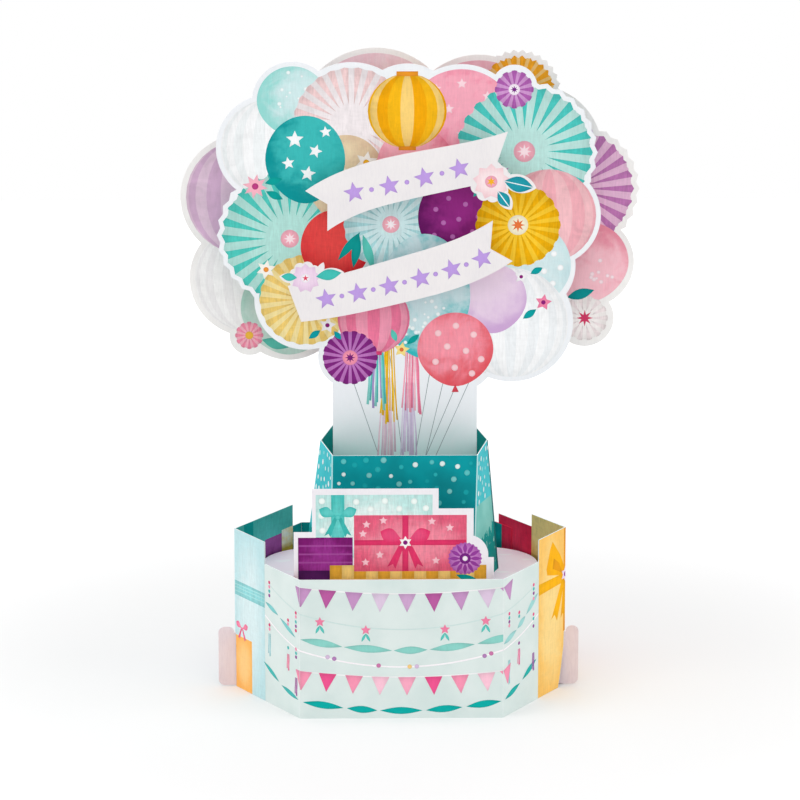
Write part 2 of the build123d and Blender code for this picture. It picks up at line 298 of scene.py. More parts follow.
def flat_object(name, points, edges, faces):
    mesh = bpy.data.meshes.new(name)
    mesh.from_pydata([Vector(point).to_3d() for point in points], edges, faces)
    return new_object(name, mesh)


def grow(maker, tree, inputs):
    """Runs a Geometry Nodes tree on an object and returns its result as a plain mesh."""
    modifier = maker.modifiers.new("grown", "NODES")
    modifier.node_group = tree
    for item in tree.interface.items_tree:
        if item.in_out == "INPUT" and item.name in inputs:
            modifier[item.identifier] = inputs[item.name]
    view = bpy.context.evaluated_depsgraph_get()
    mesh = bpy.data.meshes.new_from_object(maker.evaluated_get(view))
    maker.modifiers.remove(modifier)
    return mesh


def repeat(maker, tree, motif, tones, inputs, hand=(0.2, 0.2, 0)):
    """Grows copies of one cut motif and inks each in its tone."""
    shape = flat_object("motif", motif, [], [range(len(motif))])
    inks = [Field(motif, tone, hand=hand) for tone in tones]
    place_faces(shape.data, inks[:1])
    given = {"Motif": shape, "Tones": len(tones), "Print": watercolour_print}
    mesh = grow(maker, tree, {**given, **inputs})
    for used in (shape, maker):
        bpy.data.objects.remove(used)
    turns = mesh.attributes["tone"].data
    ink_faces(mesh, [inks[round(turns[face.vertices[0]].value)] for face in mesh.polygons])
    return mesh


def string_up(name, motif, line, count, tones, surface, follow=0.0):
    """Repeats a motif along a line on a printed face."""
    path = flat_object("line", line, [(i, i + 1) for i in range(len(line) - 1)], [])
    mesh = repeat(path, string_tree, motif, tones, {"Count": count, "Follow": follow})
    lay(mesh, surface, name)


def around(steps, turn=0.0):
    return [math.radians(turn) + 2 * math.pi * i / steps for i in range(steps)]


def disc(x, z, radius, steps=36):
    return [(x + radius * math.cos(a), z + radius * math.sin(a)) for a in around(steps)]


def rectangle(left, bottom, right, top):
    return [(left, bottom), (right, bottom), (right, top), (left, top)]


def sagging(start, end, sag):
    """Points of a string that hangs between two places."""
    (x0, z0), (x1, z1) = start, end
    steps = 16
    shares = [i / steps for i in range(steps + 1)]
    return [(x0 + (x1 - x0) * t, z0 + (z1 - z0) * t - 4 * sag * t * (1 - t)) for t in shares]


def ribbon(points, width):
    """The outline of a strip of one width along a line."""
    left, right = [], []
    for i, point in enumerate(points):
        before, after = Vector(points[max(i - 1, 0)]), Vector(points[min(i + 1, len(points) - 1)])
        side = (after - before).normalized().orthogonal() * width / 2
        left.append(tuple(Vector(point) + side))
        right.append(tuple(Vector(point) - side))
    return left + right[::-1]


def petal(start, end, width, steps=8, fullest=0.5):
    """A pointed leaf from one end to the other."""
    start, end = Vector(start), Vector(end)
    side = (end - start).orthogonal().normalized() * width / 2
    shares = [i / steps for i in range(steps + 1)]
    swell = [math.sin(math.pi * t ** (math.log(0.5) / math.log(fullest))) for t in shares]
    edge = [start.lerp(end, t) + side * s for t, s in zip(shares, swell)]
    other = [start.lerp(end, t) - side * s for t, s in list(zip(shares, swell))[1:-1]]
    return [tuple(p) for p in edge + other[::-1]]


def star(x, z, outer, inner, points=5, turn=90.0):
    radii = [outer, inner] * points
    return [(x + r * math.cos(a), z + r * math.sin(a)) for r, a in zip(radii, around(2 * points, turn))]


def tassel(x, top, bottom, wide, inks, strands=3, seed=1):
    """A paper tassel: strands of uneven width and length that spread on the way down."""
    chance = random.Random(seed)
    fields = []
    for i in range(strands):
        share = (i + 0.5) / strands - 0.5 + chance.uniform(-0.25, 0.25) / strands
        half = wide * chance.uniform(0.26, 0.52) / strands
        low = bottom + (top - bottom) * chance.uniform(0, 0.17)
        spine = [(x + wide * share * (0.5 + 0.5 * t) + half * chance.uniform(-0.7, 0.7),
                  top + (low - top) * t) for t in (0, 0.35, 0.7, 1)]
        left = [(u - half * (0.7 + 0.1 * n), v) for n, (u, v) in enumerate(spine)]
        right = [(u + half * (0.7 + 0.1 * n), v - 0.1 * n * half) for n, (u, v) in enumerate(spine)]
        fields.append(Field(left + right[::-1], inks[i % len(inks)], hand=(0.6, 0.4, 0)))
    return fields


def block(left, bottom, right, top, *paint, **more):
    """A straight-sided area of ink."""
    return Field(rectangle(left, bottom, right, top), *paint, **more)


def string(start, end, sag, width, ink, deep=None):
    return Field(ribbon(sagging(start, end, sag), width), ink, deep)


def leaves(width, ink, *ends):
    return [Field(petal(start, end, width), ink) for start, end in ends]


def dabs(motif, places, inks, hand=(0.2, 0.2, 0)):
    """One shape printed at several places, in turns of the inks."""
    return [Field([(x + u, z + v) for u, v in motif], inks[i % len(inks)], hand=hand)
            for i, (x, z) in enumerate(places)]


def beads(places, radius, inks):
    return dabs(disc(0, 0, radius, 14), places, inks, (0, 0.2, 0.3))


def bead_strings(strings, inks):
    """Strings of beads above a tassel: each one's place, its beads' heights, and the tassel's
    top, foot and ink."""
    fields, tassel_width = [], 2.2
    for x, heights, top, foot, ink in strings:
        fields += beads([(x, z) for z in heights], 0.72, inks)
        fields += tassel(x, top, foot, tassel_width, [ink])
    return fields


def bow(x, z, size, ink, deep):
    """Two loops, two tails with notched ends and a knot."""
    fields = []
    for side in (-1, 1):
        tail = [(x, z), (x + side * 0.34 * size, z - 0.95 * size), (x + side * 0.42 * size, z - 0.78 * size),
                (x + side * 0.62 * size, z - 0.88 * size), (x + side * 0.16 * size, z)]
        loop = petal((x, z), (x + side * 0.85 * size, z + 0.38 * size), 0.5 * size, 12, 0.66)
        fields += [Field(tail, deep, hand=(0.5, 0.4, 0)), Field(loop, ink, deep, (0.5, 0.5, 0.2))]
    return fields + [Field(disc(x, z, 0.12 * size, 16), ink, deep)]


mint, mint_deep = (223, 234, 231), (213, 227, 224)
teal, leaf_aqua = (0, 172, 166), (140, 210, 200)
pinks = [(240, 85, 145), (248, 150, 180), (252, 198, 216), (250, 170, 195)]
violets = [(187, 92, 160), (198, 148, 196), (222, 200, 224), (205, 165, 205)]
pale, thread, pink_thread = (250, 251, 251), (206, 225, 222), (252, 247, 250)
pennant = [(-3.5, 0), (0, -7.6), (3.5, 0)]
lower_strings, garland_end = 34.2, 31.4
garlands = [
    (27.9, 3.0, 3.1, leaf_aqua, ((-39.7, -23.2), (-22.7, -3.7), (-3.1, 10.2), (11, 28.8), (29.7, 46))),
    (3.0, 2.5, 2.9, teal, ((-38.9, -22.8), (-21.5, -9.5), (-8.5, 8.3), (9.6, 24), (25.5, 39.3)))]
loose_beads = [(-29, 25.4), (-26.4, 24.7), (-9, 21.8), (3.2, 21.3), (6, 21.4), (32.6, 25.6), (35.2, 26.6)]
loose_inks = [(215, 190, 220), (180, 130, 185), (205, 120, 170), (245, 205, 130)]

for name, start, end, middle in (("front", front_left, front_right, 40),
                                 ("back", back_right, back_left, 39.8)):
    face, over = [panel(start, end, zero=middle, lift=layers * ink_lift) for layers in (1, 2)]
    for row, height, inks in (("_violet_pennants", 52.8, violets), ("_pink_pennants", 18.6, pinks)):
        line = sagging((-29, height), (33.3, height), 1.6)
        string_up(name + row, pennant, line, 7, inks, over, 1.0)
    fields = [string((-40, z), (40, z), 2.6, 0.5, pale) for z in (53.8, 19.6)]
    fields += [string((-40, 43), (40, 43), 6.4, 0.5, thread, thread),
               string((-40, 28), (40, 28), 6.8, 0.6, pink_thread, pink_thread)]
    for low, rise, thick, ink, spans in garlands:
        hung = [[(x, low + rise * (x / garland_end) ** 2) for x in span] for span in spans]
        fields += leaves(thick, ink, *hung)
    fields += beads(loose_beads, 0.9, loose_inks)
    for x, z in ((-32, 41), (-14, 37.6), (17, 37.8), (33, 41.2)):
        fields.append(Field(star(x, z - 1.2, 2.1, 1.0), (240, 130, 165)))
        fields += leaves(1.1, (90, 200, 190), *[((x, z - 2.6), (x + side * 1.7, z - 6)) for side in (-1, 1)])
    for corner in ([(-40, 53.9), (-35.1, 53.3), (-39.4, 46.0), (-40, 46.2)],
                   [(38.6, 53.4), (40, 53.7), (40, 52)]):
        fields.append(Field(corner, violets[1]))
        fields.append(Field([(x, z - lower_strings) for x, z in corner], pinks[1]))
    press(name + "_strings", fields, face, [rectangle(-39.9, 0.1, 39.9, 56.9)])

# The side panels run from a parcel at the side fold to strings of beads beside the front.
slot_top, wing_top, step_top = 22.8, 65.95, 60.85
aqua_paper, aqua_deep, aqua_band = (218, 237, 239), (192, 226, 230), (150, 218, 220)


def clear_of_slot(wide):
    """A wing's face that starts at a side fold and leaves the slot there free."""
    return [(0.7, 0.1), (wide, 0.1), (wide, wing_top), (0.1, wing_top), (0.1, slot_top), (0.7, slot_top)]


fields = [Field(clear_of_slot(22.9), aqua_paper, aqua_deep, (0.35, 0.35, 0)),
          block(0.1, 38.8, 22.9, 44.8, aqua_band, hand=(0.8, 0.3, 0)),
          block(0.7, 0.1, 12.9, 22, (255, 207, 135), (253, 184, 96), (0.3, 0.45, 0))]
fields += [Field(ribbon([(0.1, z), (22.9, z + 0.5)], 0.35), (178, 230, 230)) for z in (40.4, 41.9, 43.2)]
fields += bow(5.4, 25.5, 5.2, (246, 140, 170), (236, 100, 140))
fields += leaves(2.0, (130, 205, 205), ((23.3, 41.6), (33.1, 38.4)), ((34.2, 37.8), (45.8, 32.6)))
fields += leaves(2.0, (70, 185, 180), ((21.8, 16.4), (33.4, 10.9)), ((35, 10.1), (47.8, 7.4)))
fields += [string((25.7, 49.7), (48.6, 43.2), 0.8, 0.5, thread, thread),
           string((23.2, 36), (48.6, 28), 1.2, 0.6, pink_thread, pink_thread)]
fields += bead_strings([(26.4, (50.3, 48.5, 46.7, 44.9, 32.7, 31), 29.1, 19.6, (165, 215, 220)),
                        (40.3, (38.4, 36.8, 27), 24.4, 17.5, (245, 120, 160)),
                        (46.1, (42.9, 41.3, 39.2, 37.4, 35.6, 28, 26.3, 24.7), 16.2, 8.6, (170, 80, 160))],
                       [(225, 70, 120), (245, 150, 180), (80, 190, 185), (150, 70, 150)])
fields += [Field([(45.8, z), (48.6, z), (48.6, z - 7)], ink)
           for z, ink in ((54, violets[1]), (19.8, pinks[1]))]
press("left_side_print", fields, panel(left_side, front_left))

amber, amber_fold, amber_paper_deep = (255, 184, 0), (244, 172, 0), (250, 198, 104)
half_bow = [
    ([(46.6, 46), (37.6, 30.2), (40.2, 31.6), (42.2, 28.6), (48.2, 44)], amber, None, (0.5, 0.4, 0)),
    ([(47.4, 45), (45.2, 29), (46.8, 30.6), (48.5, 28.4), (48.6, 44)], amber_fold, None, (0.5, 0.4, 0)),
    ([(47, 46.4), (34, 49.6), (33.4, 52.2), (36.4, 60), (38.2, 62.6), (44.4, 55.6), (48, 49.4)],
     amber, (242, 168, 0), (0.4, 0.5, 0.2)),
    ([(46.2, 47.6), (38.4, 51.2), (39.2, 55.4), (43.6, 52.4)], (236, 158, 0)),
    ([(45.8, 44.6), (48.6, 44), (48.6, 49), (45.8, 48.4)], amber_fold)]


def knot_star(x):
    """The paper star on the amber bow's knot, half on each side of the right fold."""
    return [Field(star(x, 46.6, 3.3, 1.9, 6), (240, 222, 242)), Field(disc(x, 46.6, 1.1), (150, 50, 145))]


beside_slot = [(27.4, 0.1), (43.5, 0.1), (45.1, 5.6), (46.5, 11.3), (47.6, 17), (47.9, slot_top),
               (48.6, slot_top), (48.6, wing_top), (27.4, wing_top)]
fields = [Field(beside_slot, (252, 218, 142), amber_paper_deep, (0.35, 0.4, 0)),
          block(47.2, 22.9, 48.6, 65.9, (240, 160, 40)),
          Field([(27.4, 42.8), (48.6, 43.6), (48.6, 47.2), (27.4, 47.4)], amber, hand=(0.5, 0.3, 0))]
fields += [Field(*shape) for shape in half_bow]
fields += leaves(2.5, (30, 176, 170), ((1.4, 7.1), (13.1, 10.7)), ((14.8, 11.5), (25.9, 17.2)))
fields += leaves(2.5, (160, 216, 214), ((0.1, 30.2), (10.2, 33.6)), ((10.7, 33.9), (17, 37.4)),
                 ((17.5, 37.8), (26.8, 44.4)))
fields += [string((0.1, 43), (27.2, 49.2), 1.0, 0.5, thread, thread),
           string((0.1, 28), (27.2, 35.6), 1.2, 0.6, pink_thread, pink_thread)]
fields += bead_strings([(4.4, (41.7, 40, 38.4, 36.8), 22.6, 12.5, (150, 214, 218)),
                        (12.1, (40.2, 38.6, 27.5), 25.2, 18.3, (240, 110, 160)),
                        (23.4, (48.6, 46.9, 45.1, 42.9, 36.4, 34.6, 31.5), 20.4, 12.8, (160, 80, 165))],
                       [(235, 90, 140), (80, 190, 185), (150, 70, 150), (245, 150, 180)])
fields += [Field([(0.1, z), (wide, z + 1.9), (wide - 2, z - 6.4), (wide - 2.6, z - 6)], ink)
           for z, wide, ink in ((53.6, 7, violets[1]), (19.4, 5.8, pinks[1]))]
fields += knot_star(48.6)
right_outline = beside_slot + [(27.4, 56.9), (0.1, 56.9), (0.1, 0.1)]
press("right_side_print", fields, panel(front_right, right_side), [right_outline])

# The back pair carries the parcels on round the corner, with the lap's lower step beside them.
# The bow's other half has the same shapes turned over, less the second tail.
pink_parcel, red_ribbon = ((240, 130, 160), (228, 96, 132)), (222, 60, 110)
turned_at = 48.2
amber_face = clear_of_slot(22.3)
fields = [Field(amber_face, (251, 216, 140), amber_paper_deep, (0.35, 0.4, 0)),
          Field([(0.1, 43.6), (22.3, 42.8), (22.3, 47.4), (0.1, 47.2)], amber, hand=(0.5, 0.3, 0))]
for outline, *paint in half_bow[:1] + half_bow[2:]:
    turned = [(max(0.1, round(turned_at - u, 1)), z) for u, z in outline]
    fields.append(Field(turned, *paint))
fields += [block(22.3, 0.1, 44.8, step_top, *pink_parcel, (0.4, 0.4, 0)),
           block(31.6, 0.1, 35.6, step_top, red_ribbon, hand=(0.6, 0.3, 0)),
           block(22.3, 26, 44.8, 30, red_ribbon, hand=(0.6, 0.3, 0))] + knot_star(0.1)
stepped = amber_face[:1] + [(44.8, 0.1), (44.8, step_top), (22.3, step_top)] + amber_face[2:]
press("back_right_side_print", fields, panel(right_side, back_right), [stepped])
wing = [(6.5, 0.1), (46.3, 0.1), (46.3, slot_top), (46.85, slot_top), (46.85, wing_top), (6.5, wing_top)]
fields = [Field(wing, aqua_paper, aqua_deep, (0.35, 0.35, 0)),
          block(6.5, 38.8, 46.85, 44.8, aqua_band, hand=(0.8, 0.3, 0)),
          block(6.5, 0.1, 26, 33, (190, 146, 200), (164, 112, 180), (0.4, 0.4, 0)),
          block(14.4, 0.1, 18, 33, (124, 66, 146), hand=(0.6, 0.3, 0))]
press("back_left_side_print", fields, panel(back_left, left_side))

# Inside, the wings show more parcels round the deck.
low, rim, soft, dry, brushed = 26, 56.97, (0.7, 0.5, 0), (0.5, 0.3, 0), (0.5, 0.5, 0)
teals, teal_ribbon = ((100, 204, 198), (78, 182, 174)), (0, 172, 168)
dark_teals, crimsons = ((0, 174, 174), (0, 144, 144)), ((246, 58, 94), (232, 36, 76))
plums, straws = ((172, 84, 160), (124, 46, 114)), ((252, 214, 142), (226, 160, 66))
creams = ((250, 246, 232), (240, 198, 84))
shrub = [(-39.5, low), (39.5, low)] + [(39.5 - 3.95 * i, rim) for i in range(21)]
for name, face, fields in (
        ("inner_back_left_print", panel(left_side, back_left, card),
         [block(0.4, low, 40.5, wing_top, *teals, soft),
          block(6.2, low, 12.6, wing_top, teal_ribbon, hand=dry),
          block(20.8, low, 32.6, 56, *plums, (0.6, 0.5, 0), (26, 58), (30, 12)),
          block(32.6, low, 40.5, 57.2, *creams, (0.7, 0.8, 0), (36, 58), (12, 9)),
          block(40.5, low, 46.7, rim, *dark_teals, brushed)]),
        ("inner_back_print", panel(back_left, back_right, card, 39.8), [Field(shrub, *dark_teals, brushed)]),
        ("inner_back_right_print", panel(back_right, right_side, card),
         [block(24.66, low, 46.7, wing_top, *straws, soft, (36, 62), (40, 16)),
          block(2.1, low, 24.66, step_top, *crimsons, soft)]),
        ("inner_front_left_print", panel(front_left, left_side, card),
         [block(0.4, low, 25.8, rim, *pink_parcel, soft), block(10.6, low, 14.8, rim, red_ribbon, hand=dry),
          block(25.8, low, 48.2, wing_top, *teals, soft),
          block(36, low, 41, wing_top, teal_ribbon, hand=dry)]),
        ("inner_front_right_print", panel(right_side, front_right, card),
         [block(0.4, low, 21.2, wing_top, *straws, soft), block(21.2, low, 48.2, rim, *plums, soft),
          block(32.4, low, 36.8, rim, (112, 50, 130), hand=dry)]),
        ("glue_lap_print", panel(back_right, right_side, 2 * card),
         [block(4.9, low, 11.38, rim, *crimsons, soft), block(0.45, low, 4.9, rim, *dark_teals, brushed)])):
    press(name, fields, face)

# How deep in the card, in millimetres, its printed skin and white core end and its lining starts.
skin, core, lining = 0.06, 0.34, 0.43
wall_card = Finish("mint_wall_card")
x_mm, y_mm = [wall_card.axis(wall_card.spot, i) * 1000 - fold_middle[i] for i in (0, 1)]
half_way = abs(x_mm)
beyond = []
for start, end in ((front_left, front_right), (front_right, right_side), (right_side, back_right),
                   (back_right, back_left)):
    out = Vector((end[1] - start[1], start[0] - end[0])).normalized()
    beyond.append(half_way * out.x + y_mm * out.y - out.dot(Vector(start)))
outside = beyond[0]
for reach in beyond[1:]:
    outside = wall_card.math("MAXIMUM", outside, reach)
printed = wall_card.blend(outside < -core, wall_card.wash(mint, mint_deep), tint(236, 238, 240))
edged = wall_card.blend((outside < -skin) * (outside > -core), printed, tint(248, 249, 250))
wall_card.paint(wall_card.blend(outside < -lining, edged, tint(*crimsons[0])))


def dress(node, finish):
    """Gives a CAD node its finish."""
    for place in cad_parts[node].material_slots:
        place.material = finish


dress("base_wall", wall_card.material)


# Centre strap: a band of the same white card from side fold to side fold. Its rounded ears
# stick out through the two slots, and the deck and the stem are glued to it.
def white_stock(name, pale, deep, roughness=0.6):
    """White-cored card with a barely tinted face: long fibres, soft cloudiness, a dry tooth."""
    stock = Finish(name, roughness, 0.2)
    cloud = stock.step(stock.noise(60, 4), 0.3, 0.75)
    fibre = stock.step(stock.noise(1500, 3, (1, 1, 0.2)), 0.35, 0.8) * 0.5
    return stock.paint(stock.blend(stock.math("MINIMUM", cloud * 0.6 + fibre, 1), tint(*pale), tint(*deep)))


dress("centre_strap", white_stock("strap_stock", (238, 222, 225), (226, 208, 213)))


# Deck: the shelf of pale lilac card inside the wall, with two flaps folded down and glued to
# the front and back panels. Its upper face is printed, its cut edges stay white.
deck_card = Finish("lilac_deck_card")
level = abs(deck_card.axis(deck_card.add("ShaderNodeTexCoord", out="Normal"), 2))
lilac = deck_card.wash((255, 238, 248), (253, 229, 242), 50)
dashes = deck_card.step(deck_card.noise(210, 1, (0.45, 1, 1)), 0.64, 0.7) * 0.6
lilac = deck_card.blend(dashes, lilac, tint(255, 248, 252))
dress("deck", deck_card.paint(deck_card.blend(level > 0.5, tint(246, 246, 248), lilac)))


# Tapered box: six facets of one card, narrower at the top, printed with scattered dots and
# dark inside. It stands open on the deck, round the stem.
box_foot = [(-27.5, -29.5), (28.5, -29.5), (39.4, 0), (28.5, 29.5), (-27.5, 29.5), (-38.4, 0)]
box_rim = [(-26.9, -23), (30.1, -23), (34.8, 0), (30.1, 23), (-26.9, 23), (-31.6, 0)]
foot_z, rim_z = 49.0, 102.3
facet_lift = 0.09


def facet(first, second):
    """One facet's printed face: u runs from -0.5 to 0.5 across it and v from 0 to 1 up it."""
    a, b = [Vector((*box_foot[i], foot_z)) for i in (first, second)]
    c, d = [Vector((*box_rim[i], rim_z)) for i in (first, second)]
    out = (b - a).cross(c - a).normalized()

    def place(u, v):
        return row_place(*(a.lerp(b, u + 0.5).lerp(c.lerp(d, u + 0.5), v) + out * facet_lift))
    return place, out


def over_an_area(nodes, given):
    """Strewn over Area, none nearer than Apart, in random sizes and tones."""
    spots = nodes.add("GeometryNodeDistributePointsOnFaces", {"distribute_method": "POISSON"},
                      {"Mesh": given["Area"], "Distance Min": given["Apart"],
                       "Density Max": given["Density"], "Seed": given["Seed"]})
    size = nodes.add("FunctionNodeRandomValue", {"data_type": "FLOAT"},
                     {2: given["Smallest"], 3: 1.0, "Seed": given["Seed"]}, out=1)
    chance = nodes.add("FunctionNodeRandomValue", {"data_type": "FLOAT"}, {"Seed": given["Seed"] + 7}, out=1)
    return {"Points": spots, "Scale": size}, nodes.math("FLOOR", chance * given["Tones"] * 0.999)


scatter_tree = motif_tree("scattered_dots", (("Area", "Geometry"), ("Apart", "Float"), ("Density", "Float"),
                                             ("Smallest", "Float"), ("Seed", "Int")), over_an_area)
dot = disc(0, 0, 1.15, 14)
facet_tall, side_margin, top_margin = 53.3, 2, 1.6
front_dots = [(222, 238, 236), (120, 198, 196), (40, 176, 180), (20, 164, 170), (90, 192, 192)]
side_dots = [(242, 250, 250), (214, 244, 244), (168, 230, 232)]
for name, corners, wide, lowest, tones, apart, seed in (
        ("box_front_dots", (0, 1), 56.5, 2, front_dots, 3.9, 4),
        ("box_back_dots", (3, 4), 56.5, 2, front_dots, 3.9, 9),
        ("box_front_right_dots", (1, 2), 26, 33.4, side_dots, 3.5, 5),
        ("box_back_right_dots", (2, 3), 26, 33.4, side_dots, 3.5, 6),
        ("box_back_left_dots", (4, 5), 26, 24, side_dots, 3.8, 7),
        ("box_front_left_dots", (5, 0), 26, 21, side_dots, 3.8, 8)):
    ends = wide / 2 - side_margin
    area = flat_object("area", rectangle(-ends, lowest, ends, facet_tall - top_margin), [], [range(4)])
    inputs = {"Apart": apart, "Density": 0.4, "Smallest": 0.6, "Seed": seed}
    mesh = repeat(area, scatter_tree, dot, tones, inputs, (0.2, 0.4, 0.2))
    for vertex in mesh.vertices:
        vertex.co.x, vertex.co.y = vertex.co.x / wide, vertex.co.y / facet_tall
    lay(mesh, facet(*corners), name)

box = Finish("teal_box_card")
facing = box.add("ShaderNodeTexCoord", out="Normal")
across, ahead, upward = [box.axis(facing, i) for i in range(3)]
from_x = box.axis(box.spot, 0) * 1000 - fold_middle[0] - 1
from_y = box.axis(box.spot, 1) * 1000 - fold_middle[1]
height = box.axis(box.spot, 2) * 1000
outwards = across * from_x + ahead * from_y
front_teal = box.wash((0, 154, 162), (0, 128, 135), 60)
side_teal = box.wash((70, 200, 208), (44, 186, 196), 60)
pale_top = 80 - from_y * 0.07 - (from_x < 0) * 14
side_teal = box.blend(height < pale_top, side_teal, box.wash((138, 208, 200), (108, 190, 181)))
flecks = (box.noise(700, 1, (1, 1, 0.4)) > 0.68) * 0.7
shrub = box.blend(flecks, box.wash((0, 158, 154), (0, 138, 136)), tint(190, 230, 226))
shrub_top = 62 + box.noise(420, 2, (1, 1, 0.5)) * 13 - abs(from_y) * 0.14
side_teal = box.blend(height < shrub_top, side_teal, shrub)
# Painted shade: a darker teal band about 4 mm wide round the right side fold stands in for the shaded
# back-right facet seen edge-on.
painted_shade_band = (from_x > 10) * (abs(from_y) < 1.9)
side_teal = box.blend(painted_shade_band, side_teal, box.wash((0, 112, 116), (0, 96, 100)))
facets = box.blend(abs(across) > 0.4, front_teal, side_teal)
rise = (height - foot_z) * (1 / (rim_z - foot_z))
half_front, fold_width = 28, 0.24
from_fold = abs(abs(from_x + 0.5 - rise * 1.1) - half_front - rise * 0.5)
facets = box.blend((from_fold < fold_width) * 0.75, facets, tint(206, 236, 236))
printed = box.blend(outwards > 0, box.wash((40, 178, 172), (20, 160, 156)), facets)
dress("tapered_box", box.paint(box.blend(abs(upward) > 0.7, printed, tint(238, 246, 246))))


# Present card: a card of piled parcels between the front panel and the box, die-cut with a
# narrow white border and stood on the deck by a flap folded forwards.
def upright(node, side=-1):
    """The front or back face of an upright card, in base x and z. Its glued foot may reach
    further forward than the card, so both are measured from the back."""
    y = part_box(node)[1][1] * 1000 - fold_middle[1] + (ink_lift if side > 0 else -card - ink_lift)
    return (lambda u, v: row_place(u, y, v)), Vector((0, side, 0))


aqua_box, aqua_ribbon = (226, 240, 237), (98, 203, 197)
fields = [block(-33.9, 64, 12.2, 89.6, aqua_box, (186, 224, 220), (0.8, 0.8, 0)),
          block(-27.4, 64, -22.2, 89.6, aqua_ribbon, (72, 188, 182), (0.8, 0.4, 0))]
dots = [(-31, 87), (-31.2, 81), (-30.8, 75), (-17.6, 86.6), (-12, 83.6), (-6.4, 87), (-0.8, 83.8), (5, 86.8),
        (9.6, 84)]
fields += dabs(disc(0, 0, 1.25, 16), dots, [(240, 250, 246)], (0.1, 0.3, 0))
fields += bow(-24.8, 80.4, 8.6, aqua_ribbon, (60, 182, 176))
fields.append(block(-40.5, 54, -19, 72.2, (150, 48, 138), (118, 20, 104), (1.1, 0.9, 0)))
fields += [block(-40.5, z, -19, z + 0.7, (164, 72, 154), hand=(0.6, 0.4, 0)) for z in (61.6, 65, 68.4)]
fields.append(block(-40.5, 49.4, -28, 58.7, (88, 30, 96), (70, 20, 78), dry))
pale_gold, stripe = (246, 210, 122), 4.72
for i in range(13):
    upper, lower = ((pale_gold, (238, 190, 90)) if i % 2 else ((228, 170, 56), pale_gold))
    left, right = -28 + stripe * i, -28 + stripe * (i + 1)
    fields += [block(left, 55.2, right, 60.8, upper, hand=dry),
               block(left, 49.4, right, 55.2, lower, hand=dry)]
crimson = (224, 52, 104)
fields += [block(-18.5, 58.3, 25.6, 81.2, (238, 138, 158), (222, 92, 122), (0.9, 0.7, 0)),
           block(0.4, 58.3, 2.8, 81.2, crimson, hand=brushed),
           block(-18.5, 68.9, 25.6, 71.1, crimson, hand=brushed)]
fields += bow(1.6, 70.2, 11.5, (228, 76, 122), crimson)
fields += [Field(star(1.6, 70, 2.7, 1.5, 6), (252, 246, 246)), Field(disc(1.6, 70, 0.9), (130, 20, 120))]
stars = [(-13.6, 77.4), (-7, 79), (12, 78.6), (19, 76), (-14, 62), (-8.4, 65), (13.6, 62.6), (-15, 73.6)]
fields += dabs(star(0, 0, 1.7, 0.8), stars, [(248, 196, 206)], (0.2, 0.3, 0))

# The paper rosette beside the pink parcel, on the gold stripes.
x, z, reach = 25.0, 63.4, 6.7
fields.append(Field(star(x, z, reach, reach - 0.5, 24), (200, 130, 200), (164, 82, 168), (0.5, 0.5, 0.5)))
for a in around(12):
    inner_end, outer_end = [(x + r * math.cos(a), z + r * math.sin(a)) for r in (2, reach - 0.4)]
    fields += leaves(1.5, (150, 62, 156), (inner_end, outer_end))
fields += [Field(disc(x, z, 2.2), (122, 36, 134)), Field(disc(x, z, 1.0), (250, 240, 250))]
fields += leaves(3.0, (0, 158, 152), ((21.4, 56.8), (31.4, 53.2)))
outline = [(-40.4, 49.5), (33.6, 49.5), (33.6, 61.8), (32.4, 62.6), (31.9, 65.8), (30.2, 68.9), (27.2, 70.8),
           (26, 71), (26, 81.2), (12.2, 81.2), (12.2, 89.5), (-33.4, 89.5), (-33.4, 72.1), (-40.4, 72.1)]
press("present_print", fields, upright("present_card"), [outline])
dress("present_card", white_stock("present_stock", (243, 240, 244), (234, 230, 236)))


# Front bunch and its stem, die-cut from one card: balloons and pleated paper fans printed as
# watercolour inside a narrow white border, with strings and paper tassels down the stem.
def balloon(x, z, radius, ink, deep, tall=1.0, light=(-0.25, 0.3), hand=(0.3, 0.75, 0.5)):
    """A balloon, rounder at the top, its wash palest where light falls on it."""
    pinch, wash_reach = 0.15, 1.2
    outline = [(x + radius * math.cos(a) * (1 - pinch * max(0, -math.sin(a)) ** 2),
                z + radius * tall * math.sin(a)) for a in around(56)]
    middle = (x + light[0] * radius, z + light[1] * radius * tall)
    return [Field(outline, ink, deep, hand, middle, (radius * wash_reach, radius * tall * wash_reach))]


def lantern(x, z, radius, inks, segments=9, tall=1.0, hand=(0.35, 0.55, 0.3), shade=0.86):
    """A round paper lantern: curved gores from pole to pole in turns of ink."""
    steps, wash_reach = 16, 1.15
    climb = [math.pi * (i / steps - 0.5) for i in range(steps + 1)]
    fields = []
    for i in range(segments):
        west, east = [radius * math.sin(math.pi * ((i + side) / segments - 0.5)) for side in (0, 1)]
        outline = [(x + east * math.cos(a), z + radius * tall * math.sin(a)) for a in climb]
        outline += [(x + west * math.cos(a), z + radius * tall * math.sin(a)) for a in climb[-2:0:-1]]
        ink = inks[i % len(inks)]
        reach = (radius * wash_reach, radius * tall * wash_reach)
        fields.append(Field(outline, ink, [shade * v for v in ink], hand, (x, z), reach))
    return fields


def fan(x, z, radius, sheet, rib, pleats=24, core=0.3, share=0.56, scallop=0.05, swing=0.0):
    """A round fan of folded paper: a pale sheet with a zigzag rim, a darker wedge on each pleat."""
    outline = star(x, z, radius, radius * (1 - scallop), pleats, 0)
    fields = [Field(outline, sheet, hand=(0.45, 0.5, 0))]
    half, corner = share * math.pi / pleats, 0.985 * radius
    for i, a in enumerate(around(pleats)):
        start = core * radius * (1 + swing * (i % 3 - 1))
        wedge = [(x + r * math.cos(b), z + r * math.sin(b)) for r, b in
                 ((start, a), (corner, a - half), (radius, a), (corner, a + half))]
        fields.append(Field(wedge, rib, hand=(0.8, 0.8, 0)))
    return fields


